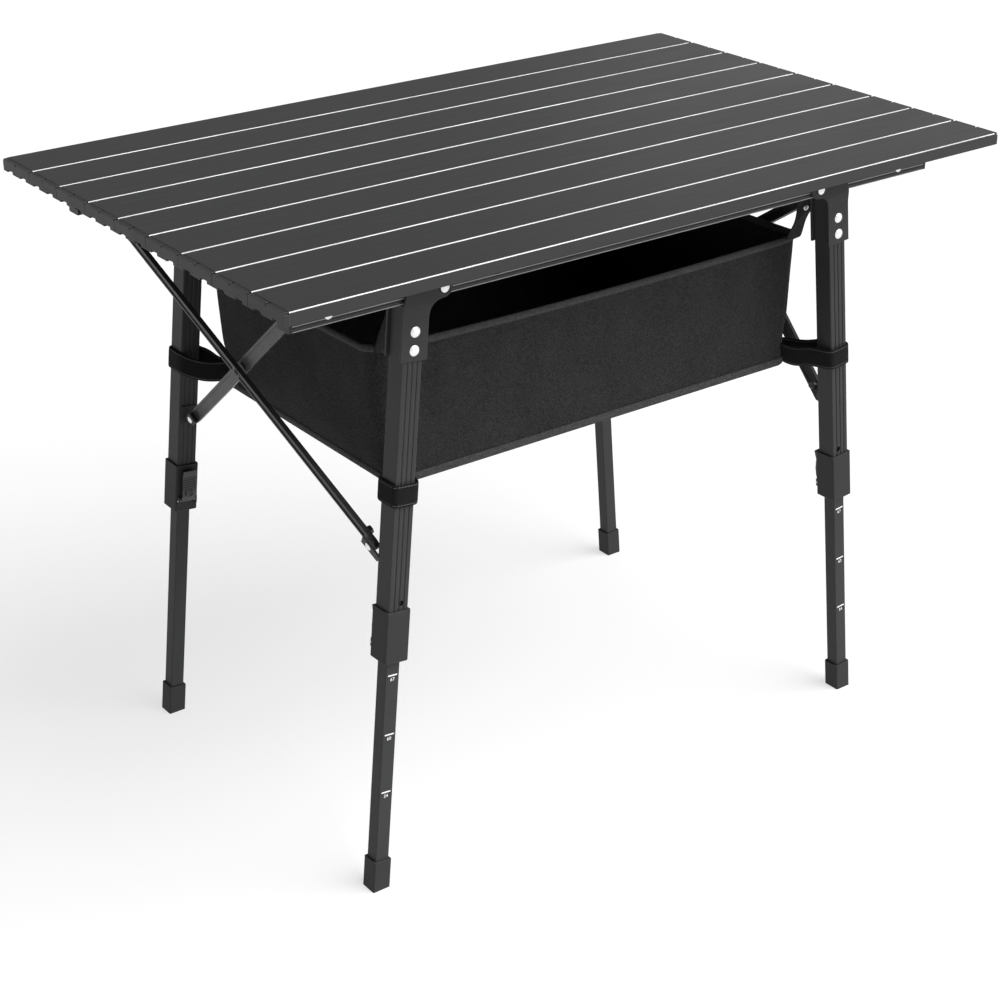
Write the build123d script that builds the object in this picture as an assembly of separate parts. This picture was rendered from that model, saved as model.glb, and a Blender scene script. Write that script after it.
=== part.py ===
from build123d import *
import math
import os

os.makedirs("parts", exist_ok=True)

# ---------------------------------------------------------------- driving dimensions, mm
# Frame: origin on the floor under the middle of the top, +X along the top, +Y across, +Z up.
TOP_LENGTH = 900.0
TOP_WIDTH = 558.6
TABLE_HEIGHT = 682.0

# roll-up top
SLAT_COUNT = 9
SLAT_PITCH = TOP_WIDTH / SLAT_COUNT
SLAT_GAP = 0.8
SLAT_DEPTH = 13.0
SLAT_SKIN = 1.6
SLAT_CHAMFER = 1.2
END_CAP_LENGTH = 5.0
END_CAP_TENON = 14.0

# side rails
RAIL_HALF_LENGTH = 409.6
RAIL_CENTRE_Y = 206.5
RAIL_WIDTH = 19.6
RAIL_BOTTOM = 633.0
RAIL_TOP = 668.8
RAIL_WALL = 2.0
RAIL_RIVET_X = 367.0
RAIL_RIVET_Z = 642.3

# legs: the centre line at the top plane and at the floor
LEG_X_TOP = 267.7
LEG_Y_TOP = 204.6
LEG_X_FLOOR = 336.4
LEG_Y_FLOOR = 217.2
UPPER_TUBE = 23.0
UPPER_WALL = 1.6
LOWER_TUBE = 16.0
LOWER_WALL = 1.5
UPPER_TUBE_TOP = 629.0
UPPER_TUBE_BOTTOM = 277.0
LOWER_TUBE_TOP = 352.0
COLLAR_TOP = 318.7
COLLAR_BOTTOM = 262.6
COLLAR_SIZE = 27.5
FOOT_TOP = 34.2
FOOT_SIZE = 20.5
GROOVE_WIDTH = 2.2
GROOVE_DEPTH = 0.7
MARK_HEIGHTS = (247.0, 180.5, 114.5)

# leg pivots on the rails
PIVOT_X = 243.7
PIVOT_Z = 642.4
PIVOT_TOE_DEG = 3.9
PIVOT_R = 3.0
RUNNING_CLEARANCE = 0.05
PLATE_THICK = 2.4
PLATE_HALF_WIDTH = 14.6
PLATE_GAP_AT_RAIL = 2.2
PLATE_BOTTOM = 576.0
BRACKET_RIVET_Z = (604.6, 586.4)
RIVET_HEAD_R = 5.4
RIVET_HEAD_H = 2.2

# end braces, each from a rail end down to the leg of the other rail
BRACE_PIVOT = (377.5, 182.0, 641.0)
BRACE_CLIP = (301.5, 184.0, 379.5)
BRACE_WIDTH = 14.0
BRACE_THICK = 5.0
BRACE_GROOVE = 8.4
BRACE_GROOVE_DEPTH = 1.0
BRACE_INSET = 12.0
BRACE_GAP = 3.2
BRACE_AXIS_LEFT = (0.26230, -0.93854, 0.22439)
BRACE_AXIS_RIGHT = (0.22673, -0.95704, 0.18075)
BRACE_EYE_R = 6.5
BRACE_STUD_R = 3.0

# basket and its straps
BASKET_X_BOTTOM = 266.0
BASKET_Y_BOTTOM = 166.0
BASKET_X_TOP = 281.4
BASKET_Y_TOP = 156.2
BASKET_BOTTOM = 419.6
BASKET_TOP = 561.7
BASKET_WALL = 3.0
STRAP_BOTTOM = 431.0
STRAP_TOP = 455.0
STRAP_THICK = 1.6
STRAP_CLEAR = 1.6


# ---------------------------------------------------------------- helpers
def as_list(shape):
    """The solids of a shape."""
    return list(shape.solids())


def save(node, *shapes):
    """Write one node's STEP file from all the solids given."""
    solids = [s for shape in shapes for s in as_list(shape)]
    whole = solids[0] if len(solids) == 1 else Compound(children=solids)
    export_step(whole, f"parts/{node}.step")
    print(f"{node:28s} {len(solids)} solids, {sum(s.volume for s in solids) / 1000:9.2f} cm3")


def block(x0, x1, y0, y1, z0, z1):
    """An axis-aligned box between two corners."""
    return Pos((x0 + x1) / 2, (y0 + y1) / 2, (z0 + z1) / 2) * Box(x1 - x0, y1 - y0, z1 - z0)


def rod(start, direction, length, radius):
    """A cylinder from a start point along a direction."""
    d = Vector(*direction).normalized()
    return Plane(origin=Vector(*start) + d * (length / 2), z_dir=d) * Cylinder(radius, length)


def dome(at, direction, radius=RIVET_HEAD_R, height=RIVET_HEAD_H):
    """A domed rivet head standing on a face."""
    d = Vector(*direction).normalized()
    ball_r = (radius * radius + height * height) / (2 * height)
    ball = Pos(0, 0, height - ball_r) * Sphere(ball_r)
    cap = ball & (Pos(0, 0, height / 2) * Box(4 * radius, 4 * radius, height))
    return Plane(origin=Vector(*at), z_dir=d) * cap


def mirrored(shape, left, front):
    """A shape drawn for the front left corner, mirrored to another corner."""
    if not left:
        shape = mirror(shape, Plane.YZ)
    if not front:
        shape = mirror(shape, Plane.XZ)
    return shape


# ---------------------------------------------------------------- leg frame (front left corner)
FOOT_POINT = Vector(-LEG_X_FLOOR, -LEG_Y_FLOOR, 0)
TOP_POINT = Vector(-LEG_X_TOP, -LEG_Y_TOP, TABLE_HEIGHT)
LEG_UP = (TOP_POINT - FOOT_POINT).normalized()
LEG_IN = (Vector(1, 0, 0) - LEG_UP * LEG_UP.X).normalized()
LEG_BACK = LEG_UP.cross(LEG_IN)


def leg_at(z):
    """The point of the leg's centre line at a height."""
    return FOOT_POINT + LEG_UP * (z / LEG_UP.Z)


def leg_plane(z):
    """The leg's own frame at a height: x inboard, y towards the middle of the table, z up."""
    return Plane(origin=leg_at(z), x_dir=LEG_IN, z_dir=LEG_UP)


def leg_length(z0, z1):
    """Length along the leg between two heights."""
    return (z1 - z0) / LEG_UP.Z


def leg_bar(z0, z1, size, radius=0.0):
    """A square bar on the leg's centre line between two heights."""
    length = leg_length(z0, z1)
    bar = Pos(0, 0, length / 2) * Box(size, size, length)
    if radius:
        bar = fillet(bar.edges().filter_by(Axis.Z), radius)
    return leg_plane(z0) * bar


def upper_tube():
    """Upper leg tube: a grooved square extrusion, open at both ends."""
    length = leg_length(UPPER_TUBE_BOTTOM, UPPER_TUBE_TOP)
    half = UPPER_TUBE / 2
    bore = UPPER_TUBE - 2 * UPPER_WALL
    body = Pos(0, 0, length / 2) * Box(UPPER_TUBE, UPPER_TUBE, length)
    body = fillet(body.edges().filter_by(Axis.Z), 1.2)
    body -= Pos(0, 0, length / 2) * Box(bore, bore, length + 2)
    for along in (-5.6, 0.0, 5.6):
        for side in (-1, 1):
            body -= Pos(along, side * half, length / 2) * Box(GROOVE_WIDTH, 2 * GROOVE_DEPTH, length + 2)
    body = leg_plane(UPPER_TUBE_BOTTOM) * body
    stop = leg_plane(326.0) * Pos(3.0, -half, 0) * Rot(90, 0, 0) * Cylinder(3.2, 6)
    body -= stop
    for z in BRACKET_RIVET_Z:
        body -= leg_plane(z) * Rot(90, 0, 0) * Cylinder(2.5 + RUNNING_CLEARANCE, UPPER_TUBE + 4)
    return body


def lower_tube():
    """Lower leg tube: a plain square tube that slides up inside the upper one."""
    start = 9.0
    length = leg_length(start, LOWER_TUBE_TOP)
    bore = LOWER_TUBE - 2 * LOWER_WALL
    body = Pos(0, 0, length / 2) * Box(LOWER_TUBE, LOWER_TUBE, length)
    body = fillet(body.edges().filter_by(Axis.Z), 1.0)
    body -= Pos(0, 0, length / 2) * Box(bore, bore, length + 2)
    body = leg_plane(start) * body
    for z in MARK_HEIGHTS:
        body -= leg_plane(z) * Pos(0, -LOWER_TUBE / 2, 0) * Box(11.0, 0.4, 1.6)
        body -= leg_plane(z - 4.4) * Pos(-4.0, -LOWER_TUBE / 2, 0) * Box(1.2, 0.4, 3.6)
        body -= leg_plane(z - 4.4) * Pos(1.4, -LOWER_TUBE / 2, 0) * Box(6.0, 0.4, 2.6)
    return body


def collar():
    """Clamp collar over the joint of the two tubes, with two ears for the latch."""
    length = leg_length(COLLAR_BOTTOM, COLLAR_TOP)
    body = Pos(0, 0, length / 2) * Box(COLLAR_SIZE, COLLAR_SIZE, length)
    body = fillet(body.edges().filter_by(Axis.Z), 1.6)
    body = chamfer(body.edges().group_by(Axis.Z)[0], 1.0)
    tube_bore = UPPER_TUBE + 0.4
    sleeve_from = leg_length(COLLAR_BOTTOM, UPPER_TUBE_BOTTOM) - 0.4
    body -= Pos(0, 0, sleeve_from + length / 2) * Box(tube_bore, tube_bore, length)
    body -= Pos(0, 0, length / 2) * Box(LOWER_TUBE + 0.6, LOWER_TUBE + 0.6, length + 2)
    for side in (-1, 1):
        ear = Pos(side * 10.4, COLLAR_SIZE / 2 + 1.4, 14.0) * Box(2.4, 3.6, 9.0)
        ear -= Pos(side * 10.4, COLLAR_SIZE / 2 + 1.6, 14.0) * Rot(0, 90, 0) * Cylinder(1.2, 8)
        body += ear
    return leg_plane(COLLAR_BOTTOM) * body


def lever():
    """Flip latch on the collar's inner face: hinged at its foot, flared at its lip."""
    hinge_z = 14.0
    face = COLLAR_SIZE / 2
    with BuildPart() as made:
        with BuildSketch(Plane.YZ):
            with BuildLine():
                Polyline(
                    (face + 0.54, hinge_z - 1.06),
                    (face + 0.54, hinge_z + 30.0),
                    (face + 4.0, hinge_z + 36.5),
                    (face + 8.0, hinge_z + 38.0),
                    (face + 7.2, hinge_z + 34.0),
                    (face + 5.4, hinge_z + 28.0),
                    (face + 7.0, hinge_z + 16.0),
                    (face + 6.0, hinge_z + 6.0),
                    (face + 2.66, hinge_z - 1.06),
                    (face + 1.6, hinge_z - 1.5),
                    close=True,
                )
            make_face()
        extrude(amount=8.4, both=True)
    body = made.part
    body -= Pos(0, face + 1.6, hinge_z) * Rot(0, 90, 0) * Cylinder(1.0 + RUNNING_CLEARANCE, 24)
    return leg_plane(COLLAR_BOTTOM) * body


def foot():
    """Foot cap, cut flat on the floor."""
    body = leg_bar(-8.0, FOOT_TOP, FOOT_SIZE, 1.4)
    body -= leg_bar(8.6, FOOT_TOP + 4, LOWER_TUBE + 0.1)
    body -= block(-500, 500, -500, 500, -60, 0)
    return body


def pivot_axis(toe):
    """Direction of the leg's hinge, slightly toed so that the legs of a rail fold past each other."""
    return Vector(toe * math.sin(math.radians(PIVOT_TOE_DEG)), -math.cos(math.radians(PIVOT_TOE_DEG)), 0)


PIVOT = Vector(-PIVOT_X, -RAIL_CENTRE_Y, PIVOT_Z)
PIVOT_LOCAL = leg_plane(PIVOT_Z).to_local_coords(PIVOT)


def bracket_outline():
    """The plate seen from the front: a strap up the leg that sweeps inboard to the pivot."""
    half = PLATE_HALF_WIDTH
    low = -leg_length(PLATE_BOTTOM, PIVOT_Z)
    px, pz = PIVOT_LOCAL.X, PIVOT_LOCAL.Z
    with BuildSketch(Plane.XZ) as sk:
        with BuildLine():
            Polyline((half, pz - 27.0), (half, low), (-half, low), (-half, pz - 14.0))
            Spline(
                (-half, pz - 14.0),
                (-half + 5.0, pz + 2.5),
                (-half + 17.0, pz + 10.5),
                tangents=((0, 1), (1, 0.12)),
            )
            Line((-half + 17.0, pz + 10.5), (px, pz + 10.5))
            RadiusArc((px, pz + 10.5), (px + 3.0, pz - 10.0), 10.4)
            Spline(
                (px + 3.0, pz - 10.0),
                (half + 3.4, pz - 15.6),
                (half, pz - 27.0),
                tangents=((-1, -0.1), (0, -1)),
            )
        make_face()
    return sk.sketch


def bracket_plate(side, toe):
    """One of a leg's two plates: flat on the tube, cranked outwards to run beside the rail."""
    half = UPPER_TUBE / 2 + 0.05
    rail_face = RAIL_WIDTH / 2 + PLATE_GAP_AT_RAIL
    low = -leg_length(PLATE_BOTTOM, PIVOT_Z) - 2
    t = PLATE_THICK
    local = leg_plane(PIVOT_Z)
    # flat against the rail's clearance, and never inside the tube
    beside_rail = side * max(half, side * PIVOT_LOCAL.Y + rail_face)
    bend_low = -leg_length(619.0, PIVOT_Z)
    bend_high = -leg_length(631.0, PIVOT_Z)
    with BuildPart() as strip:
        with BuildSketch(Plane.YZ.offset(-30)):
            with BuildLine():
                Polyline(
                    (side * half, low),
                    (side * half, bend_low),
                    (beside_rail, bend_high),
                    (beside_rail, 24.0),
                    (beside_rail + side * t, 24.0),
                    (beside_rail + side * t, bend_high),
                    (side * (half + t), bend_low),
                    (side * (half + t), low),
                    close=True,
                )
            make_face()
        extrude(amount=90)
    prism = extrude(bracket_outline(), amount=60, both=True)
    plate = strip.part & prism
    for z in BRACKET_RIVET_Z:
        plate -= Pos(0, 0, -leg_length(z, PIVOT_Z)) * Rot(90, 0, 0) * Cylinder(2.5 + RUNNING_CLEARANCE, 60)
    plate = local * plate
    axis = pivot_axis(toe)
    plate -= rod(PIVOT - axis * 40, axis, 80, PIVOT_R + RUNNING_CLEARANCE)
    return plate


def clip_tab_plane(level):
    """Middle of the clip's tab, behind the brace that lies against it."""
    u0, n0 = brace_frame()
    clip = Vector(-BRACE_CLIP[0], -BRACE_CLIP[1], BRACE_CLIP[2])
    back = n0 * (level * (BRACE_THICK + BRACE_GAP) / 2 - BRACE_THICK / 2 - 3.8)
    return Plane(origin=clip + back, x_dir=u0, z_dir=n0)


def brace_clip_bracket(level):
    """Small tab on the leg's inner face that the brace's lower end lies against."""
    face = UPPER_TUBE / 2 + 0.05
    local = leg_plane(BRACE_CLIP[2])
    tab = clip_tab_plane(level) * (Pos(3.0, 0, 0) * Box(26.0, 12.0, 2.0))
    keep = local * (Pos(0, face + 25, 0) * Box(60, 50, 60))
    base = local * (Pos(0, face + 0.6, 0) * Box(UPPER_TUBE - 5, 1.2, 20.0))
    tab_reach = tab & keep
    return base + tab_reach


def brace_frame():
    """Direction down the left brace that starts on the rear rail, and the normal of the X's plane."""
    clip = Vector(-BRACE_CLIP[0], -BRACE_CLIP[1], BRACE_CLIP[2])
    start = Vector(-BRACE_PIVOT[0], BRACE_PIVOT[1], BRACE_PIVOT[2])
    u0 = (clip - start).normalized()
    other = Vector(u0.X, -u0.Y, u0.Z)
    n0 = u0.cross(other).normalized()
    if n0.X < 0:
        n0 = n0 * -1
    return u0, n0


def brace(level, axis):
    """A flat bar with an angled eye at the rail end. Drawn from the rear left rail end."""
    u0, n0 = brace_frame()
    offset = n0 * (level * (BRACE_THICK + BRACE_GAP) / 2)
    start = Vector(-BRACE_PIVOT[0], BRACE_PIVOT[1], BRACE_PIVOT[2]) + offset
    clip = Vector(-BRACE_CLIP[0], -BRACE_CLIP[1], BRACE_CLIP[2]) + offset
    length = (clip - start).length
    plane = Plane(origin=start, x_dir=u0, z_dir=n0)
    bar = Pos(length / 2, 0, 0) * Box(length, BRACE_WIDTH, BRACE_THICK)
    groove = Box(length - 2 * BRACE_INSET, BRACE_GROOVE, 2 * BRACE_GROOVE_DEPTH)
    for face in (-1, 1):
        bar -= Pos(length / 2, 0, face * BRACE_THICK / 2) * groove
    tip = Pos(length, 0, 0) * Cylinder(BRACE_WIDTH / 2, BRACE_THICK)
    boss = Pos(length / 2, 0, 0) * Cylinder(BRACE_WIDTH / 2 - 1.0, BRACE_THICK)
    body = plane * (bar + tip + boss)
    k = Vector(*axis)
    body += rod(start - k * 4.5, k, 10.5, BRACE_EYE_R)
    body -= rod(start - k * 20.0, k, 24.0, BRACE_STUD_R + RUNNING_CLEARANCE)
    middle = start + u0 * (length / 2)
    body -= rod(middle - n0 * 10, n0, 20, 2.5 + RUNNING_CLEARANCE)
    body -= rod(clip - n0 * 10, n0, 20, 2.5 + RUNNING_CLEARANCE)
    return body


def brace_rivets(level):
    """Rivets that ride on one brace: half of the crossing rivet and the lower end's rivet."""
    u0, n0 = brace_frame()
    offset = n0 * (level * (BRACE_THICK + BRACE_GAP) / 2)
    start = Vector(-BRACE_PIVOT[0], BRACE_PIVOT[1], BRACE_PIVOT[2]) + offset
    clip = Vector(-BRACE_CLIP[0], -BRACE_CLIP[1], BRACE_CLIP[2]) + offset
    middle = start + (clip - start) * 0.5
    made = []
    for at, away in ((middle, n0 * level), (clip, n0)):
        face = at + away * (BRACE_THICK / 2 + 0.05)
        made.append(dome(face, away, 4.2, 1.8) + rod(face, away * -1, BRACE_THICK, 2.5))
    return made


def brace_stud(level, axis):
    """The stud on the rail's inner face that a brace's eye turns on."""
    u0, n0 = brace_frame()
    k = Vector(*axis)
    at = Vector(-BRACE_PIVOT[0], BRACE_PIVOT[1], BRACE_PIVOT[2])
    at = at + n0 * (level * (BRACE_THICK + BRACE_GAP) / 2)
    stud = rod(at - k * 19.0, k, 22.6, BRACE_STUD_R)
    pad = rod(at - k * 19.0, k, 12.8, 6.0)
    inner = RAIL_CENTRE_Y - RAIL_WIDTH / 2 - 0.05
    keep = block(-500, 500, 0, inner, 500, 700)
    base = block(at.X - 18, at.X + 10, inner - 2.0, inner, RAIL_BOTTOM + 1, RAIL_BOTTOM + 21)
    return ((stud + pad) & keep) + base


# ---------------------------------------------------------------- roll-up top
def slat(index):
    """One slat of the top: a skin with a skirt along each edge and two inner ribs."""
    y = (index - (SLAT_COUNT + 1) / 2) * SLAT_PITCH
    half = (SLAT_PITCH - SLAT_GAP) / 2
    low = -SLAT_DEPTH
    t = SLAT_SKIN
    c = SLAT_CHAMFER
    with BuildPart() as made:
        with BuildSketch(Plane.YZ):
            with BuildLine():
                Polyline(
                    (-half, low),
                    (-half, -c),
                    (-half + c, 0),
                    (half - c, 0),
                    (half, -c),
                    (half, low),
                    (half - 4.0, low),
                    (half - 4.0, low + t),
                    (half - t, low + t),
                    (half - t, -t),
                    (11.0 + t, -t),
                    (11.0 + t, low + 4.0),
                    (11.0, low + 4.0),
                    (11.0, -t),
                    (-11.0, -t),
                    (-11.0, low + 4.0),
                    (-11.0 - t, low + 4.0),
                    (-11.0 - t, -t),
                    (-half + t, -t),
                    (-half + t, low + t),
                    (-half + 4.0, low + t),
                    (-half + 4.0, low),
                    close=True,
                )
            make_face()
        extrude(amount=TOP_LENGTH / 2 - END_CAP_LENGTH, both=True)
    return Pos(0, y, TABLE_HEIGHT) * made.part


def slat_caps(index):
    """The two plastic end caps of a slat, each with a tenon inside the slat."""
    y = (index - (SLAT_COUNT + 1) / 2) * SLAT_PITCH
    half = (SLAT_PITCH - SLAT_GAP) / 2
    outer = TOP_LENGTH / 2
    inner = outer - END_CAP_LENGTH + 0.05
    made = []
    for side in (-1, 1):
        x0, x1 = sorted((side * inner, side * outer))
        plate = block(x0, x1, -half, half, -SLAT_DEPTH, -0.3)
        plate = chamfer(plate.edges().filter_by(Axis.X).group_by(Axis.Z)[-1], 1.4)
        for notch in (-1, 0, 1):
            plate -= block(x0 - 1, x1 + 1, notch * half - 1.5, notch * half + 1.5, -2.6, 1.0)
        for step in (-1, 1):
            at = step * half / 2
            plate -= block(x0 - 1, x1 + 1, at - 6.0, at + 6.0, -SLAT_DEPTH - 1, -SLAT_DEPTH + 2.6)
        t0, t1 = sorted((side * (inner - END_CAP_TENON), side * (inner + 0.5)))
        tenon = block(t0, t1, -10.6, 10.6, -SLAT_DEPTH + 4.4, -SLAT_SKIN - 0.1)
        made.append(Pos(0, y, TABLE_HEIGHT) * (plate + tenon))
    return made


# ---------------------------------------------------------------- rails
def side_rail(front):
    """A side rail: a box section with a lip along its lower edge, bored for the leg pivots."""
    w = RAIL_WIDTH / 2
    height = RAIL_TOP - RAIL_BOTTOM
    mid = (RAIL_TOP + RAIL_BOTTOM) / 2
    length = 2 * (RAIL_HALF_LENGTH - 4.0)
    body = Pos(0, 0, mid) * Box(length, RAIL_WIDTH, height)
    body = fillet(body.edges().filter_by(Axis.X), 1.0)
    body -= Pos(0, 0, mid) * Box(length + 2, RAIL_WIDTH - 2 * RAIL_WALL, height - 2 * RAIL_WALL)
    for side in (-1, 1):
        body -= Pos(0, side * w, RAIL_BOTTOM + 5.0) * Box(length + 2, 1.0, 1.2)
        body -= Pos(0, side * w, RAIL_BOTTOM + 22.0) * Box(length + 2, 1.0, 1.2)
    body = Pos(0, -RAIL_CENTRE_Y, 0) * body
    body -= Pos(-179.0, -RAIL_CENTRE_Y - w, RAIL_RIVET_Z) * Box(9.0, 3.0, 5.0)
    for left, toe in ((True, 1), (False, -1)):
        axis = pivot_axis(toe)
        hole = rod(PIVOT - axis * 40, axis, 80, PIVOT_R + RUNNING_CLEARANCE)
        body -= mirrored(hole, left, True)
        rivet_hole = rod((-RAIL_RIVET_X, -RAIL_CENTRE_Y - 20, RAIL_RIVET_Z), (0, 1, 0), 15, 2.5)
        body -= mirrored(rivet_hole, left, True)
    return mirrored(body, True, front)


def rail_end_caps(front):
    """Plastic caps in the rail's two ends."""
    mid = (RAIL_TOP + RAIL_BOTTOM) / 2
    height = RAIL_TOP - RAIL_BOTTOM
    made = []
    for left in (True, False):
        x_in = -RAIL_HALF_LENGTH + 3.95
        cap = block(-RAIL_HALF_LENGTH, x_in, -RAIL_WIDTH / 2, RAIL_WIDTH / 2, RAIL_BOTTOM, RAIL_TOP)
        cap = fillet(cap.edges().filter_by(Axis.X), 1.0)
        cap += Pos(x_in + 6, 0, mid) * Box(12.4, RAIL_WIDTH - 4.4, height - 4.4)
        made.append(mirrored(Pos(0, -RAIL_CENTRE_Y, 0) * cap, left, front))
    return made


def pivot_rivet(left, front):
    """The rivet through a leg's two plates and the rail. It turns with the leg."""
    axis = pivot_axis(1 if left else -1)
    outer_face = RAIL_WIDTH / 2 + PLATE_GAP_AT_RAIL + PLATE_THICK + 0.6
    inner_face = outer_face + 0.8
    shank = rod(PIVOT - axis * (inner_face + 0.9), axis, outer_face + inner_face + 1.8, PIVOT_R)
    heads = []
    for way, washer_from in ((-1, inner_face), (1, outer_face)):
        heads.append(dome(PIVOT + axis * (way * (washer_from + 0.9)), axis * way, 5.0, 2.0))
        shank += rod(PIVOT + axis * (way * washer_from), axis * way, 1.0, 5.0)
    body = shank
    for head in heads:
        body += head
    return mirrored(body, left, front)


def leg_rivets(left, front):
    """Two through rivets per leg and the latch's pin."""
    made = []
    half = UPPER_TUBE / 2 + 0.05 + PLATE_THICK + 0.05
    for z in BRACKET_RIVET_Z:
        local = leg_plane(z)
        shank = local * (Rot(90, 0, 0) * Cylinder(2.5, 2 * half))
        for way in (-1, 1):
            at = local.origin + LEG_BACK * (way * half)
            shank += dome(at, LEG_BACK * way)
        made.append(mirrored(shank, left, front))
    tab = clip_tab_plane(-1 if front else 1)
    tab_head = dome(tab.origin - tab.z_dir * 1.05, tab.z_dir * -1, 4.2, 1.8)
    made.append(mirrored(tab_head, left, front))
    pin = Pos(0, COLLAR_SIZE / 2 + 1.6, 14.0) * Rot(0, 90, 0) * Cylinder(1.0, 23.6)
    made.append(mirrored(leg_plane(COLLAR_BOTTOM) * pin, left, front))
    return made


def rail_rivets(front):
    """A rivet near each end of a rail's outer face."""
    face = -RAIL_CENTRE_Y - RAIL_WIDTH / 2 - 0.05
    made = []
    for left in (True, False):
        at = (-RAIL_RIVET_X, face, RAIL_RIVET_Z)
        rivet = dome(at, (0, -1, 0), 4.6, 1.9) + rod(at, (0, 1, 0), 6.0, 2.4)
        made.append(mirrored(rivet, left, front))
    return made


# ---------------------------------------------------------------- basket
def basket():
    """Soft basket as a thin shell, open at the top, wider at its rim along the table."""
    def shell(grow, low):
        with BuildPart() as made:
            with BuildSketch(Plane.XY.offset(low)):
                RectangleRounded(2 * (BASKET_X_BOTTOM + grow), 2 * (BASKET_Y_BOTTOM + grow), 12)
            with BuildSketch(Plane.XY.offset(BASKET_TOP)):
                RectangleRounded(2 * (BASKET_X_TOP + grow), 2 * (BASKET_Y_TOP + grow), 12)
            loft()
        return made.part

    return shell(0.0, BASKET_BOTTOM) - shell(-BASKET_WALL, BASKET_BOTTOM + BASKET_WALL)


def basket_straps():
    """Loops round the legs at the basket's lower corners, and the tabs up to the rails."""
    inner = UPPER_TUBE / 2 + STRAP_CLEAR
    outer = inner + STRAP_THICK
    length = leg_length(STRAP_BOTTOM, STRAP_TOP)
    made = []
    for left in (True, False):
        for front in (True, False):
            loop = Pos(0, 0, length / 2) * Box(2 * outer, 2 * outer, length)
            loop -= Pos(0, 0, length / 2) * Box(2 * inner, 2 * inner, length + 2)
            loop = leg_plane(STRAP_BOTTOM) * loop
            start = leg_at(443.0) + LEG_IN * (outer - 3.5) + LEG_BACK * (outer - 0.4)
            end = Vector(-BASKET_X_BOTTOM + 1.0, -BASKET_Y_BOTTOM - 0.4, 439.0)
            run = end - start
            side = Vector(0, 0, 1).cross(run).normalized()
            tail = Plane(origin=start + run * 0.5, x_dir=run.normalized(), z_dir=side)
            tail = tail * Box(run.length, 24.0, STRAP_THICK)
            made.append(mirrored(loop + tail, left, front))
            y_rail = -(RAIL_CENTRE_Y - RAIL_WIDTH / 2) + 1.2
            corner = Vector(-BASKET_X_TOP - 0.6, -BASKET_Y_TOP - 1.2, BASKET_TOP - 6)
            along = Vector(-BASKET_X_TOP + 34.0, -BASKET_Y_TOP - 1.2, BASKET_TOP - 6)
            peak = Vector(-BASKET_X_TOP - 33.0, y_rail, RAIL_BOTTOM + 12)
            peak_in = Vector(-BASKET_X_TOP - 17.0, y_rail, RAIL_BOTTOM + 12)
            tab_face = Face(Wire.make_polygon([corner, along, peak_in, peak], close=True))
            tab = extrude(tab_face, amount=1.0, dir=(0, -0.9, 0.4))
            made.append(mirrored(tab, left, front))
    return made


# ---------------------------------------------------------------- write the nodes
for n in range(1, SLAT_COUNT + 1):
    save(f"slat_{n}", slat(n))
    save(f"slat_caps_{n}", *slat_caps(n))

for rail_name, is_front in (("front", True), ("rear", False)):
    save(f"{rail_name}_rail", side_rail(is_front))
    fittings = rail_end_caps(is_front)
    # drawn on the rear rail at the left end, level -1 for a brace from the rear rail, +1 from the front
    rail_level = 1 if is_front else -1
    for is_left in (True, False):
        k_axis = BRACE_AXIS_LEFT if is_left else BRACE_AXIS_RIGHT
        one_stud = brace_stud(rail_level, k_axis)
        fittings.append(mirrored(one_stud, is_left, not is_front))
    save(f"{rail_name}_rail_fittings", *fittings)
    save(f"{rail_name}_rail_rivets", *rail_rivets(is_front))

for corner_name, is_left, is_front in (
    ("fl", True, True),
    ("fr", False, True),
    ("rl", True, False),
    ("rr", False, False),
):
    toe_sign = 1 if is_left else -1
    save(f"{corner_name}_upper_tube", mirrored(upper_tube(), is_left, is_front))
    save(f"{corner_name}_lower_tube", mirrored(lower_tube(), is_left, is_front))
    save(f"{corner_name}_collar", mirrored(collar(), is_left, is_front))
    save(f"{corner_name}_lever", mirrored(lever(), is_left, is_front))
    save(f"{corner_name}_foot", mirrored(foot(), is_left, is_front))
    # the brace that ends on a front leg starts on the rear rail, and the other way round
    end_level = -1 if is_front else 1
    plates = [bracket_plate(-1, toe_sign), bracket_plate(1, toe_sign), brace_clip_bracket(end_level)]
    save(f"{corner_name}_leg_brackets", *[mirrored(p, is_left, is_front) for p in plates])
    save(f"{corner_name}_leg_rivets", pivot_rivet(is_left, is_front), *leg_rivets(is_left, is_front))

for brace_name, is_left, from_rear in (
    ("left_rear", True, True),
    ("left_front", True, False),
    ("right_rear", False, True),
    ("right_front", False, False),
):
    k_axis = BRACE_AXIS_LEFT if is_left else BRACE_AXIS_RIGHT
    brace_level = -1 if from_rear else 1
    bar = brace(brace_level, k_axis)
    pins = brace_rivets(brace_level)
    # drawn from the rear rail, so a brace from the front rail is the mirror image
    shown = [mirrored(s, is_left, from_rear) for s in (bar, *pins)]
    save(f"brace_{brace_name}", *shown)

save("basket", basket())
save("basket_straps", *basket_straps())
print("nodes:", len(os.listdir("parts")))
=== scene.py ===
# %% [markdown]
# ## A folding camp kitchen table
# The frame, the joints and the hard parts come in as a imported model, and this notebook only
# dresses them. Hard parts get finishes; soft parts are made again as cloth. Everything is in
# metres, with +X along the top, +Y towards the rear rail and +Z up from the floor.

# %% Load the frame
import math

import bmesh
import bpy
from mathutils import Matrix, Vector


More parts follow.
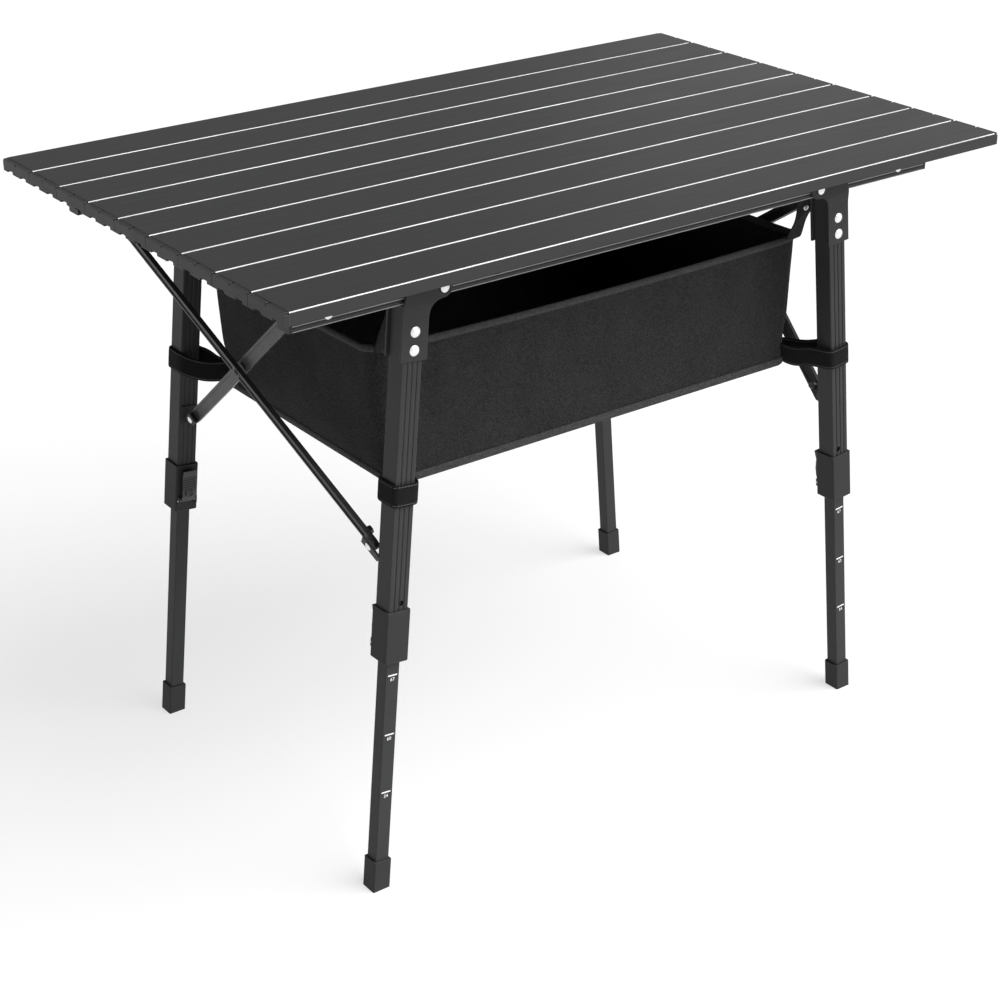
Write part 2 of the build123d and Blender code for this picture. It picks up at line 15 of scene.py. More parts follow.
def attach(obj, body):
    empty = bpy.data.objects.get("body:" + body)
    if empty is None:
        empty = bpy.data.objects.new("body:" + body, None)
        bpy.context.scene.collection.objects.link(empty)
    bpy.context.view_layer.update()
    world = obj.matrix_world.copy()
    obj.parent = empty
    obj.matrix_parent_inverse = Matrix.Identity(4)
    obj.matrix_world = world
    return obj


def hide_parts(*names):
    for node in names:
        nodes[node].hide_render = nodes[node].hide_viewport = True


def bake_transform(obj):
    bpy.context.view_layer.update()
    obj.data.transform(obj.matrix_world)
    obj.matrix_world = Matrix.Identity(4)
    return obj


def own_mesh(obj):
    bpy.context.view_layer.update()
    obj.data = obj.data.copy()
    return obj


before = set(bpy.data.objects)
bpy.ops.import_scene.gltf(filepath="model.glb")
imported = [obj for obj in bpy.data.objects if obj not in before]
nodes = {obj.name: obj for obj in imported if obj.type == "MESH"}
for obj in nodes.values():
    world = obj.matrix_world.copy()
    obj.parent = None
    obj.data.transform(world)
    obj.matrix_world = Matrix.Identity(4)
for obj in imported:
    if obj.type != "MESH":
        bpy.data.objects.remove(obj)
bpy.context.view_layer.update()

# %% [markdown]
# ## Working with node trees
# Each finish is a small graph of shader nodes. Two helpers keep the graphs readable: one adds a
# node with its settings, the other starts a material and returns its Principled shader.

# %% Start a material and add nodes


def add_node(tree, kind, inputs=None, **settings):
    """Add a shader node, set its properties, then its input values or links."""
    made = tree.nodes.new(kind)
    for key, value in settings.items():
        setattr(made, key, value)
    for key, value in (inputs or {}).items():
        if isinstance(value, bpy.types.NodeSocket):
            tree.links.new(value, made.inputs[key])
        else:
            made.inputs[key].default_value = value
    return made


def start_material(name, **values):
    """A new material with its Principled shader set to plain values."""
    mat = bpy.data.materials.new(name)
    mat.use_nodes = True
    shader = mat.node_tree.nodes["Principled BSDF"]
    for key, value in values.items():
        shader.inputs[key.replace("_", " ")].default_value = value
    return mat, mat.node_tree, shader


def grey(value, tint=0.0):
    """A neutral colour, a touch cooler for a positive tint."""
    return (value * (1 - tint), value, value * (1 + tint), 1.0)


print("a plain grey:", grey(0.5))

# %% [markdown]
# Patterns are numbers that vary over a surface. They come from noise on the object's own
# coordinates, are moved into the range a socket needs, and then mix colours or drive roughness.

# %% Patterns
NOISE_ROUGHNESS = 0.6


def object_place(tree):
    """The point on the object's own coordinates, in metres."""
    return add_node(tree, "ShaderNodeTexCoord").outputs["Object"]


def stretched_noise(tree, scale, along, detail):
    """Noise in object space, stretched along the axes where the scale is small."""
    stretched = add_node(tree, "ShaderNodeMapping", {"Vector": object_place(tree), "Scale": along})
    noise = add_node(
        tree,
        "ShaderNodeTexNoise",
        {
            "Vector": stretched.outputs["Vector"],
            "Scale": scale,
            "Detail": detail,
            "Roughness": NOISE_ROUGHNESS,
        },
    )
    return noise.outputs["Fac"]


def spread(tree, value, low, high, from_low=0.3, from_high=0.7):
    """Move a 0 to 1 pattern into a range of values."""
    moved = add_node(
        tree,
        "ShaderNodeMapRange",
        {
            "Value": value,
            "From Min": from_low,
            "From Max": from_high,
            "To Min": low,
            "To Max": high,
        },
    )
    return moved.outputs["Result"]


print("noise roughness", NOISE_ROUGHNESS)

# %% Mixes and maths


def mix_colour(tree, factor, a, b):
    """Mix two colours by a factor socket."""
    made = add_node(tree, "ShaderNodeMix", data_type="RGBA")
    tree.links.new(factor, made.inputs["Factor"])
    for socket, value in ((made.inputs["A"], a), (made.inputs["B"], b)):
        if isinstance(value, bpy.types.NodeSocket):
            tree.links.new(value, socket)
        else:
            socket.default_value = value
    return made.outputs["Result"]


def maths(tree, operation, a, b=0.0, c=None):
    """One Math node, with sockets or numbers."""
    made = add_node(tree, "ShaderNodeMath", operation=operation)
    for index, value in enumerate((a, b) if c is None else (a, b, c)):
        if isinstance(value, bpy.types.NodeSocket):
            tree.links.new(value, made.inputs[index])
        else:
            made.inputs[index].default_value = value
    return made.outputs["Value"]


print("mixes and maths ready")

# %% [markdown]
# Fine relief is a bump, which bends the shading and leaves the mesh alone. The Bevel node does the
# same for edges: it gives the normal that a rounded edge would have. Where that normal differs
# from the flat one there is an edge, and there the colour is lightened as a painted highlight.

# %% Bumps and edges


def bump(tree, shader, height, strength, distance, under=None):
    """Give a shader a bump from a height pattern, over rounded edges if those are given."""
    made = add_node(
        tree, "ShaderNodeBump", {"Height": height, "Strength": strength, "Distance": distance}
    )
    if under is not None:
        tree.links.new(under, made.inputs["Normal"])
    tree.links.new(made.outputs["Normal"], shader.inputs["Normal"])


def rounded_edges(tree, radius):
    """A normal that turns over each edge, and a mask that is 1 along the edges."""
    bevel = add_node(tree, "ShaderNodeBevel", {"Radius": radius}, samples=4).outputs["Normal"]
    flat = add_node(tree, "ShaderNodeNewGeometry").outputs["Normal"]
    dot = add_node(tree, "ShaderNodeVectorMath", operation="DOT_PRODUCT")
    tree.links.new(bevel, dot.inputs[0])
    tree.links.new(flat, dot.inputs[1])
    mask = spread(tree, dot.outputs["Value"], 1.0, 0.0, 0.80, 0.985)
    return bevel, mask


print("helpers for patterns, bumps and edges ready")

# %% [markdown]
# ## Anodised extrusions
# The slats and rails are drawn through a die and then anodised. The die leaves faint lines along
# the length, and the anodising leaves a soft, even satin. Noise stretched along X gives both: it
# moves the roughness a little and lifts a very fine bump. Along each slat's front edge the chamfer
# gets a thin painted highlight, a light grey metallic line, and just before the next slat the seam
# gets a painted shade.

# %% Finish of the slats
TOP_DEPTH = 0.5586
SLAT_COUNT = 9
SLAT_PITCH = TOP_DEPTH / SLAT_COUNT
TOP_Z = 0.682
EDGE_WIDTH = 0.0010
EDGE_START = 0.0004
SEAM_SHADE = 0.0016
DIE_LINES = 900.0
ALONG_TOP = (0.012, 1.0, 1.0)
ALONG_LEG = (1.0, 1.0, 0.012)
EVEN = (1.0, 1.0, 1.0)


def slat_finish():
    """Satin slats with a painted highlight on each front edge and painted shade in the seam."""
    mat, tree, shader = start_material("slat_satin", Metallic=0.0, Specular_IOR_Level=0.22)
    lines = stretched_noise(tree, DIE_LINES, ALONG_TOP, detail=3.0)
    clouds = stretched_noise(tree, 9.0, (0.5, 1.0, 1.0), detail=5.0)
    parts = add_node(tree, "ShaderNodeSeparateXYZ", {"Vector": object_place(tree)})
    # distance behind the front edge of the slat this point is on
    across = maths(tree, "ADD", parts.outputs["Y"], TOP_DEPTH / 2 - EDGE_START)
    behind = maths(tree, "FLOORED_MODULO", across, SLAT_PITCH)
    on_edge = maths(tree, "LESS_THAN", behind, EDGE_WIDTH)
    near_top = maths(tree, "GREATER_THAN", parts.outputs["Z"], TOP_Z - EDGE_WIDTH)
    edge = maths(tree, "MULTIPLY", on_edge, near_top)
    # painted highlight: a light grey, metallic line along each slat's front chamfer, where it
    # catches the light
    edge_highlight_mask = maths(tree, "MULTIPLY", edge, spread(tree, lines, 0.45, 0.75))
    body = mix_colour(tree, clouds, grey(0.023, 0.01), grey(0.031, 0.01))
    # painted shade: the last strip of each slat before the next one is darkened, where the seam
    # lies in shade
    seam_shade_mask = maths(tree, "GREATER_THAN", behind, SLAT_PITCH - SEAM_SHADE)
    body = mix_colour(tree, seam_shade_mask, body, grey(0.010))
    colour = mix_colour(tree, edge_highlight_mask, body, grey(0.62))
    tree.links.new(colour, shader.inputs["Base Color"])
    tree.links.new(edge_highlight_mask, shader.inputs["Metallic"])
    rough = maths(tree, "ADD", spread(tree, lines, 0.42, 0.50), spread(tree, clouds, -0.02, 0.03))
    tree.links.new(rough, shader.inputs["Roughness"])
    bump(tree, shader, lines, 0.10, 0.0002)
    return mat


slat_satin = slat_finish()
print("slat pitch", round(1000 * SLAT_PITCH, 2), "mm")

# %% [markdown]
# The rails and leg tubes are drawn in the same way, so they share the die lines. The rail also has
# two painted highlight lines along the lip at its foot, found by their height above the floor.

# %% Finishes of the rails and tubes
RAIL_LIP_Z = (0.6336, 0.6392)


def extrusion_finish(name, dark, light, rough, along):
    """Satin anodised metal with die lines along one axis and a painted highlight on its edges."""
    mat, tree, shader = start_material(name, Specular_IOR_Level=0.09)
    lines = stretched_noise(tree, DIE_LINES, along, detail=3.0)
    clouds = stretched_noise(tree, 14.0, EVEN, detail=5.0)
    rounded, edge_highlight_mask = rounded_edges(tree, 0.0007)
    colour = mix_colour(tree, clouds, grey(dark, 0.01), grey(light, 0.01))
    # painted highlight: the edges are mixed towards a lighter grey, as where they catch the light
    painted_edge_highlight = maths(tree, "MULTIPLY", edge_highlight_mask, spread(tree, lines, 0.2, 0.5))
    tree.links.new(mix_colour(tree, painted_edge_highlight, colour, grey(0.14)), shader.inputs["Base Color"])
    tree.links.new(spread(tree, lines, rough - 0.05, rough + 0.06), shader.inputs["Roughness"])
    bump(tree, shader, lines, 0.12, 0.0002, rounded)
    return mat


def rail_finish():
    """Satin rail with two painted highlight lines along the lip at its foot."""
    mat, tree, shader = start_material("rail_satin", Specular_IOR_Level=0.22)
    lines = stretched_noise(tree, DIE_LINES, ALONG_TOP, detail=3.0)
    parts = add_node(tree, "ShaderNodeSeparateXYZ", {"Vector": object_place(tree)})
    lip = maths(tree, "COMPARE", parts.outputs["Z"], RAIL_LIP_Z[0], 0.0007)
    groove = maths(tree, "COMPARE", parts.outputs["Z"], RAIL_LIP_Z[1], 0.0005)
    either = maths(tree, "MAXIMUM", lip, groove)
    # painted highlight: two light grey lines along the lip, where it catches the light
    bright = maths(tree, "MULTIPLY", either, spread(tree, lines, 0.5, 0.9))
    body = mix_colour(tree, lines, grey(0.027, 0.01), grey(0.036, 0.01))
    tree.links.new(mix_colour(tree, bright, body, grey(0.34)), shader.inputs["Base Color"])
    tree.links.new(spread(tree, lines, 0.34, 0.44), shader.inputs["Roughness"])
    rounded, _ = rounded_edges(tree, 0.0006)
    bump(tree, shader, lines, 0.12, 0.0002, rounded)
    return mat


rail_satin = rail_finish()
tube_satin = extrusion_finish("tube_satin", 0.030, 0.041, 0.42, ALONG_LEG)
print("extrusion finishes:", slat_satin.name, rail_satin.name, tube_satin.name)

# %% [markdown]
# ## Moulded plastic and painted metal
# End caps, collars and feet are moulded in a plastic with a fine spark-eroded grain. Brackets and
# braces are pressed metal with a thin powder coat, which is smoother but slightly pebbled. Both
# are noise bumps; only the scale and the strength differ.

# %% Finishes of plastic, painted metal and rivets
EDGE_HIGHLIGHT_GREY = 0.16


def grained_finish(name, base, rough, scale, strength, specular=0.2):
    """Plastic or powder coat: an even colour with a fine pebble and a painted highlight on its
    edges.
    """
    mat, tree, shader = start_material(name, Specular_IOR_Level=specular)
    grain = stretched_noise(tree, scale, EVEN, detail=2.0)
    clouds = stretched_noise(tree, 30.0, EVEN, detail=4.0)
    rounded, edge_highlight_mask = rounded_edges(tree, 0.0007)
    colour = mix_colour(tree, clouds, grey(base * 0.85), grey(base * 1.15))
    # painted highlight: the edges are mixed towards a lighter grey, as where they catch the light
    painted_edge_highlight = maths(tree, "MULTIPLY", edge_highlight_mask, spread(tree, grain, 0.3, 0.8))
    tree.links.new(mix_colour(tree, painted_edge_highlight, colour, grey(EDGE_HIGHLIGHT_GREY)), shader.inputs["Base Color"])
    tree.links.new(spread(tree, clouds, rough - 0.04, rough + 0.05), shader.inputs["Roughness"])
    bump(tree, shader, grain, strength, 0.0003, rounded)
    return mat


def rivet_finish():
    """Bright zinc-plated steel with faint turning marks."""
    mat, tree, shader = start_material("rivet_bright", Metallic=0.55)
    turning = stretched_noise(tree, 700.0, EVEN, detail=2.0)
    colour = mix_colour(tree, turning, grey(0.80), grey(0.95))
    tree.links.new(colour, shader.inputs["Base Color"])
    tree.links.new(spread(tree, turning, 0.34, 0.46), shader.inputs["Roughness"])
    bump(tree, shader, turning, 0.06, 0.0002)
    return mat


cap_plastic = grained_finish("cap_plastic", 0.025, 0.46, 1800.0, 0.16)
clamp_plastic = grained_finish(
    "clamp_plastic", 0.031, 0.50, 1600.0, 0.22, specular=0.08
)
latch_plastic = grained_finish("latch_plastic", 0.012, 0.30, 1500.0, 0.10, specular=0.5)
bracket_paint = grained_finish("bracket_paint", 0.033, 0.42, 1300.0, 0.18, specular=0.10)
brace_paint = grained_finish("brace_paint", 0.019, 0.38, 1300.0, 0.16)
rivet_bright = rivet_finish()
print("plastic, paint and rivet finishes ready")

# %% [markdown]
# ## Dressing the hard parts
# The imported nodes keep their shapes. A node's name says what it is, so a short list of words is
# enough to give every one its finish. The first word that a name holds decides.

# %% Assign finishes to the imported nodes
FINISH_BY_WORD = (
    ("slat_caps", cap_plastic),
    ("slat_", slat_satin),
    ("fittings", cap_plastic),
    ("rivets", rivet_bright),
    ("rail", rail_satin),
    ("tube", tube_satin),
    ("collar", clamp_plastic),
    ("foot", clamp_plastic),
    ("lever", latch_plastic),
    ("brackets", bracket_paint),
    ("brace_", brace_paint),
)


def dress(obj, mat):
    """Put one finish on every slot of an object."""
    if not obj.material_slots:
        obj.data.materials.append(mat)
    for material_slot in obj.material_slots:
        material_slot.material = mat


dressed = 0
for node_name, node_object in nodes.items():
    for word, finish in FINISH_BY_WORD:
        if word in node_name:
            dress(node_object, finish)
            dressed += 1
            break
print("dressed", dressed, "nodes")

# %% [markdown]
# ## Woven cloth
# The basket is a coarse black polyester canvas. Its threads cross at right angles, so two sets of
# waves, one along each side of the unwrapped cloth, make the weave. The unwrapped cloth is laid
# out in metres, so a thread has its real size everywhere.

# %% Finishes of the cloth parts
STITCH_STEP = 0.0034
STITCH_SHARE = 0.72
STITCH_WIDTH = 0.0009
STITCH_GREY = 0.09


def cloth_finish(name, dark, light, thread, strength, stitch_rows=()):
    """Plain weave with threads that far apart, and rows of stitches at given heights."""
    mat, tree, shader = start_material(
        name, Specular_IOR_Level=0.06, Sheen_Weight=0.03, Sheen_Roughness=0.6
    )
    uv = add_node(tree, "ShaderNodeUVMap", uv_map="cloth").outputs["UV"]
    parts = add_node(tree, "ShaderNodeSeparateXYZ", {"Vector": uv})
    turns = 2 * math.pi / thread
    warp = maths(tree, "SINE", maths(tree, "MULTIPLY", parts.outputs["X"], turns))
    weft = maths(tree, "SINE", maths(tree, "MULTIPLY", parts.outputs["Y"], turns))
    weave = maths(tree, "MULTIPLY", warp, weft)
    patches = maths(tree, "MULTIPLY", stretched_noise(tree, 26.0, EVEN, detail=6.0), 0.35)
    fuzz = stretched_noise(tree, 1400.0, EVEN, detail=2.0)
    slubs = stretched_noise(tree, 520.0, EVEN, detail=2.0)
    mottle = maths(tree, "ADD", patches, spread(tree, slubs, 0.0, 0.65))
    tone = maths(tree, "MULTIPLY_ADD", weave, 0.25, mottle)
    colour = mix_colour(tree, tone, grey(dark), grey(light))
    height = maths(tree, "MULTIPLY_ADD", fuzz, 0.35, weave)
    for row in stitch_rows:
        near = maths(tree, "COMPARE", parts.outputs["Y"], row, STITCH_WIDTH / 2)
        steps = maths(tree, "MULTIPLY", parts.outputs["X"], 1 / STITCH_STEP)
        thread_up = maths(tree, "LESS_THAN", maths(tree, "FRACT", steps), STITCH_SHARE)
        dash = maths(tree, "MULTIPLY", near, thread_up)
        colour = mix_colour(tree, dash, colour, grey(STITCH_GREY))
        height = maths(tree, "MULTIPLY_ADD", dash, 1.5, height)
    tree.links.new(colour, shader.inputs["Base Color"])
    tree.links.new(spread(tree, fuzz, 0.78, 0.92), shader.inputs["Roughness"])
    bump(tree, shader, height, strength, 0.0004)
    return mat


canvas_black = cloth_finish("canvas_black", 0.004, 0.035, 0.0024, 1.0)
tape_black = cloth_finish("tape_black", 0.018, 0.066, 0.0014, 0.5)
webbing_black = cloth_finish(
    "webbing_black", 0.003, 0.009, 0.0016, 0.7, stitch_rows=(-0.0095, 0.0095)
)
print("cloth finishes ready")

# %% [markdown]
# ## The basket
# The real basket is sewn from one bottom panel and four walls, hung from its corners, with a
# folded tape along the rim and a stiff hem round the base. It could be modelled wall by wall, but
# the walls meet in round corners, so one open box is bevelled and then cut into a fine grid. A
# short cloth simulation makes the walls hang, and the rim is let down a little between its
# corners, as it is on the real one.

# %% Sizes of the basket
BASKET_BOTTOM = 0.4196
BASKET_RIM = 0.5700
BOTTOM_HALF = (0.2685, 0.1658)
RIM_HALF = (0.2840, 0.1562)
CORNER_RADIUS = 0.016
RIM_TAPE = 0.0088
HEM_HEIGHT = 0.011
print("basket", 2 * RIM_HALF[0], "m long at its rim")

# %% The open box
FLOOR_RADIUS = 0.005
GRID = 0.0125
GRID_MARGIN = 0.017
WALL_ROWS = 9


def slice_mesh(bm, axis, positions):
    """Cut the whole mesh with planes across one axis."""
    normal = Vector((0, 0, 0))
    normal[axis] = 1.0
    for position in positions:
        bmesh.ops.bisect_plane(
            bm,
            geom=bm.verts[:] + bm.edges[:] + bm.faces[:],
            dist=1e-5,
            plane_co=normal * position,
            plane_no=normal,
        )


def basket_box():
    """The open box with round corners, cut into a grid."""
    bm = bmesh.new()
    bmesh.ops.create_cube(bm, size=1.0)
    lid = [f for f in bm.faces if f.normal.z > 0.9]
    bmesh.ops.delete(bm, geom=lid, context="FACES_ONLY")
    for v in bm.verts:
        half = RIM_HALF if v.co.z > 0 else BOTTOM_HALF
        v.co = Vector((
            math.copysign(half[0], v.co.x),
            math.copysign(half[1], v.co.y),
            BASKET_RIM if v.co.z > 0 else BASKET_BOTTOM,
        ))
    corners = [e for e in bm.edges if abs(e.verts[0].co.z - e.verts[1].co.z) > 0.05]
    bmesh.ops.bevel(
        bm, geom=corners, offset=CORNER_RADIUS, segments=5, profile=0.5, affect="EDGES", material=-1
    )
    floor_ring = [e for e in bm.edges if max(v.co.z for v in e.verts) < BASKET_BOTTOM + 1e-4]
    bmesh.ops.bevel(
        bm,
        geom=floor_ring,
        offset=FLOOR_RADIUS,
        segments=2,
        profile=0.5,
        affect="EDGES",
        material=-1,
    )
    for axis in (0, 1):
        count = round(2 * BOTTOM_HALF[axis] / GRID)
        reach = BOTTOM_HALF[axis] - GRID_MARGIN
        slice_mesh(bm, axis, [(n / count - 0.5) * 2 * reach for n in range(count + 1)])
    wall_from = BASKET_BOTTOM + HEM_HEIGHT
    step = (BASKET_RIM - RIM_TAPE - wall_from) / WALL_ROWS
    slice_mesh(bm, 2, [wall_from + step * n for n in range(WALL_ROWS + 1)])
    return bm


box_mesh = basket_box()
print("box cut into", len(box_mesh.faces), "faces")

# %% Lay the cloth out and make the object


def lay_out_cloth(bm):
    """Unwrap in metres: along the wall and up, or flat on the bottom panel."""
    layer = bm.loops.layers.uv.new("cloth")
    for face in bm.faces:
        flat = abs(face.normal.z) > 0.75
        side_on = abs(face.normal.x) > abs(face.normal.y)
        for loop in face.loops:
            x, y, z = loop.vert.co
            if flat:
                loop[layer].uv = (x, y)
            else:
                loop[layer].uv = (y, z) if side_on else (x, z)


def new_object(name, bm):
    """Turn a bmesh into an object at the origin."""
    mesh = bpy.data.meshes.new(name)
    bm.normal_update()
    bm.to_mesh(mesh)
    bm.free()
    obj = bpy.data.objects.new(name, mesh)
    bpy.context.scene.collection.objects.link(obj)
    return obj


lay_out_cloth(box_mesh)
basket_cloth = new_object("basket_cloth", box_mesh)
print("basket grid:", len(basket_cloth.data.polygons), "faces")

# %% [markdown]
# Cloth needs to know what holds it. The rim tape, the hem and the stiff bottom are pinned, and
# only the walls are free. The cloth is told to be a little larger than its frame, so it makes the
# shallow vertical folds of slack canvas.

# %% Pin the cloth where it is held


def pin(obj, name, weight_at):
    """A vertex group whose weight is a function of the point."""
    group = obj.vertex_groups.new(name=name)
    for v in obj.data.vertices:
        weight = weight_at(v.co)
        if weight > 0:
            group.add([v.index], weight, "REPLACE")


def held_weight(co):
    """1 on the rim tape, the hem and the bottom, 0 on the walls."""
    free = BASKET_BOTTOM + HEM_HEIGHT + 1e-4 < co.z < BASKET_RIM - RIM_TAPE - 1e-4
    return 0.0 if free else 1.0


pin(basket_cloth, "held", held_weight)
free_points = sum(held_weight(v.co) == 0 for v in basket_cloth.data.vertices)
print("points free to move:", free_points)

# %% Let the walls hang
HANG_FRAMES = 24
MOST_SHIFT = 0.003


def hang(obj, frames):
    """Run the cloth for some frames and keep the result as the mesh."""
    cloth = obj.modifiers.new("hang", "CLOTH")
    s = cloth.settings
    s.quality = 7
    s.mass = 0.30
    s.tension_stiffness = 18
    s.compression_stiffness = 14
    s.shear_stiffness = 6
    s.bending_stiffness = 1.2
    s.air_damping = 4
    s.vertex_group_mass = "held"
    s.shrink_min = -0.010
    cloth.collision_settings.use_collision = False
    cloth.collision_settings.use_self_collision = False
    cloth.point_cache.frame_start = 1
    cloth.point_cache.frame_end = frames
    scene = bpy.context.scene
    for n in range(1, frames + 1):
        scene.frame_set(n)
    graph = bpy.context.evaluated_depsgraph_get()
    settled = bpy.data.meshes.new_from_object(obj.evaluated_get(graph), depsgraph=graph)
    rest = obj.data
    moved = 0.0
    for before, after in zip(rest.vertices, settled.vertices):
        shift = after.co - before.co
        moved = max(moved, shift.length)
        if shift.length > MOST_SHIFT:
            shift.length = MOST_SHIFT
        before.co = before.co + shift
    obj.modifiers.remove(cloth)
    bpy.data.meshes.remove(settled)
    scene.frame_set(1)
    return moved


print("walls moved up to", round(1000 * hang(basket_cloth, HANG_FRAMES), 2), "mm")

# %% Let the rim down between its corners
RIM_SAG = 0.0045
CORNER_LIFT = 0.004


def let_down_rim(obj):
    """Sag the rim between its corners, fading out towards the base."""
    for v in obj.data.vertices:
        up = (v.co.z - BASKET_BOTTOM) / (BASKET_RIM - BASKET_BOTTOM)
        up = max(0.0, min(1.0, up))
        along = min(1.0, abs(v.co.x) / RIM_HALF[0])
        across = min(1.0, abs(v.co.y) / RIM_HALF[1])
        long_side = (1 - along**2.2) * (across > 0.9)
        short_side = 0.45 * (1 - across**2.2) * (along > 0.9)
        v.co.z -= RIM_SAG * max(long_side, short_side) * up**1.5
        corner = max(0.0, along - 0.93) / 0.07 * max(0.0, across - 0.9) / 0.1
        v.co.z += CORNER_LIFT * corner * up**4


print("rim sag:", 1000 * RIM_SAG, "mm")

# %% [markdown]
# The tape, the hem and the canvas share one surface, so the tape and the hem are the canvas's own
# faces, copied before the rim is let down and thickened a little more than the canvas. They then
# follow every fold without any fitting.

# %% Helpers for layers of cloth


def copy_faces(source, name, keep):
    """A new object from the faces of another whose middle passes a test."""
    bm = bmesh.new()
    bm.from_mesh(source.data)
    drop = [f for f in bm.faces if not keep(f)]
    bmesh.ops.delete(bm, geom=drop, context="FACES")
    return new_object(name, bm)


def thicken(obj, thickness, offset):
    """Solidify and smooth a cloth surface."""
    solid = obj.modifiers.new("thickness", "SOLIDIFY")
    solid.thickness = thickness
    solid.offset = offset
    solid.use_rim = True
    solid.use_even_offset = True
    smooth = obj.modifiers.new("smooth", "SUBSURF")
    smooth.levels = 1
    smooth.render_levels = 1
    for polygon in obj.data.polygons:
        polygon.use_smooth = True


print("layers come from", len(basket_cloth.data.polygons), "canvas faces")

# %% Tape, hem and canvas
CANVAS_THICK = 0.0011
TAPE_THICK = 0.0056
HEM_THICK = 0.0022

basket_tape = copy_faces(
    basket_cloth, "basket_rim_tape", lambda f: f.calc_center_median().z > BASKET_RIM - RIM_TAPE
)
basket_hem = copy_faces(
    basket_cloth,
    "basket_hem",
    lambda f: abs(f.normal.z) < 0.6 and f.calc_center_median().z < BASKET_BOTTOM + HEM_HEIGHT,
)
for piece in (basket_cloth, basket_tape):
    let_down_rim(piece)
thicken(basket_cloth, CANVAS_THICK, -1)
thicken(basket_tape, TAPE_THICK, 0.0)
thicken(basket_hem, HEM_THICK, 0.4)
dress(basket_cloth, canvas_black)
dress(basket_tape, tape_black)
dress(basket_hem, tape_black)
print("tape", len(basket_tape.data.polygons), "hem", len(basket_hem.data.polygons), "faces")

# %% [markdown]
# ## Webbing loops
# At each lower corner a band of webbing leaves the basket, goes round the leg and comes back. A
# band is a line drawn in plan, extruded upwards by its own width. It is drawn in the leg's own
# slanted frame, so it sits square on the tube, and its sharp turns are bevelled round.

# %% The leg's own frame
LEG_FOOT = Vector((-0.3364, -0.2172, 0.0))
LEG_TOP = Vector((-0.2677, -0.2046, 0.682))
CORNERS = {"fl": (1, 1), "fr": (-1, 1), "rl": (1, -1), "rr": (-1, -1)}


def leg_frame(z):
    """Matrix of the front left leg's own frame at a height: x inboard, y to the middle, z up."""
    up = (LEG_TOP - LEG_FOOT).normalized()
    inboard = (Vector((1, 0, 0)) - up * up.x).normalized()
    middle = up.cross(inboard)
    origin = LEG_FOOT + up * (z / up.z)
    turned = Matrix((inboard, middle, up)).transposed().to_4x4()
    return Matrix.Translation(origin) @ turned


def to_corner(bm, corner):
    """Mirror a front left piece to another corner, keeping its faces outwards."""
    sx, sy = CORNERS[corner]
    bmesh.ops.scale(bm, vec=(sx, sy, 1), verts=bm.verts)
    if sx * sy < 0:
        bmesh.ops.reverse_faces(bm, faces=bm.faces)


print("leg length", round((LEG_TOP - LEG_FOOT).length, 4), "m")

# %% The flat band
STRAP_WIDTH = 0.024
STRAP_THICK = 0.0016
TURN_RADIUS = 0.0048


def strap_plan(basket_end, gap):
    """The band's line in plan, from the basket round the leg and back."""
    return [
        Vector((basket_end.x + 0.003, basket_end.y - 0.004)),
        Vector((gap + 0.0005, -gap)),
        Vector((-gap, -gap)),
        Vector((-gap, gap)),
        Vector((basket_end.x - 0.004, basket_end.y + 0.003)),
    ]


def climb(edge):
    """How far an edge rises from one end to the other."""
    return abs(edge.verts[0].co.z - edge.verts[1].co.z)


def flat_band(plan):
    """A strip that follows the plan, with round turns and divided runs."""
    bm = bmesh.new()
    line = [bm.verts.new((p.x, p.y, -STRAP_WIDTH / 2)) for p in plan]
    edges = [bm.edges.new(pair) for pair in zip(line, line[1:])]
    raised = bmesh.ops.extrude_edge_only(bm, edges=edges)
    top = [g for g in raised["geom"] if isinstance(g, bmesh.types.BMVert)]
    bmesh.ops.translate(bm, vec=(0, 0, STRAP_WIDTH), verts=top)
    turns = [e for e in bm.edges if climb(e) > 0.01 and len(e.link_faces) == 2]
    bmesh.ops.bevel(
        bm, geom=turns, offset=TURN_RADIUS, segments=4, profile=0.5, affect="EDGES", material=-1
    )
    runs = [e for e in bm.edges if climb(e) < 1e-6 and e.calc_length() > 0.03]
    bmesh.ops.subdivide_edges(bm, edges=runs, cuts=7, use_grid_fill=True)
    across = [e for e in bm.edges if climb(e) > 0.01]
    bmesh.ops.subdivide_edges(bm, edges=across, cuts=3, use_grid_fill=True)
    return bm


print("webbing", 1000 * STRAP_WIDTH, "mm wide")

# %% Loops round the legs
STRAP_Z = 0.4415
STRAP_CLEAR = 0.0018
STRAP_SAG = 0.0045
STRAP_ROOT = Vector((-BOTTOM_HALF[0] + 0.006, -BOTTOM_HALF[1] + 0.009, 0.4375))
TUBE_HALF = 0.0115


def strap_loop(corner):
    """One webbing loop from the basket's corner round the leg."""
    place = leg_frame(STRAP_Z)
    basket_end = place.inverted() @ STRAP_ROOT
    gap = TUBE_HALF + STRAP_CLEAR + STRAP_THICK / 2
    bm = flat_band(strap_plan(basket_end, gap))
    layer = bm.loops.layers.uv.new("cloth")
    for face in bm.faces:
        for loop in face.loops:
            co = loop.vert.co
            loop[layer].uv = (co.x + co.y, co.z)
    # the run between the leg and the basket hangs a little and ends at the basket's height
    reach = basket_end.y - gap
    for v in bm.verts:
        t = (v.co.y - gap) / reach
        if 0 < t < 1:
            v.co.z -= STRAP_SAG * math.sin(math.pi * t)
        v.co.z += basket_end.z * max(0.0, min(1.0, t)) ** 1.5
    bmesh.ops.transform(bm, matrix=place, verts=bm.verts)
    to_corner(bm, corner)
    obj = new_object(f"strap_{corner}", bm)
    thicken(obj, STRAP_THICK, 0.0)
    dress(obj, webbing_black)
    return obj


straps = {corner: strap_loop(corner) for corner in CORNERS}
print("straps:", sorted(straps))

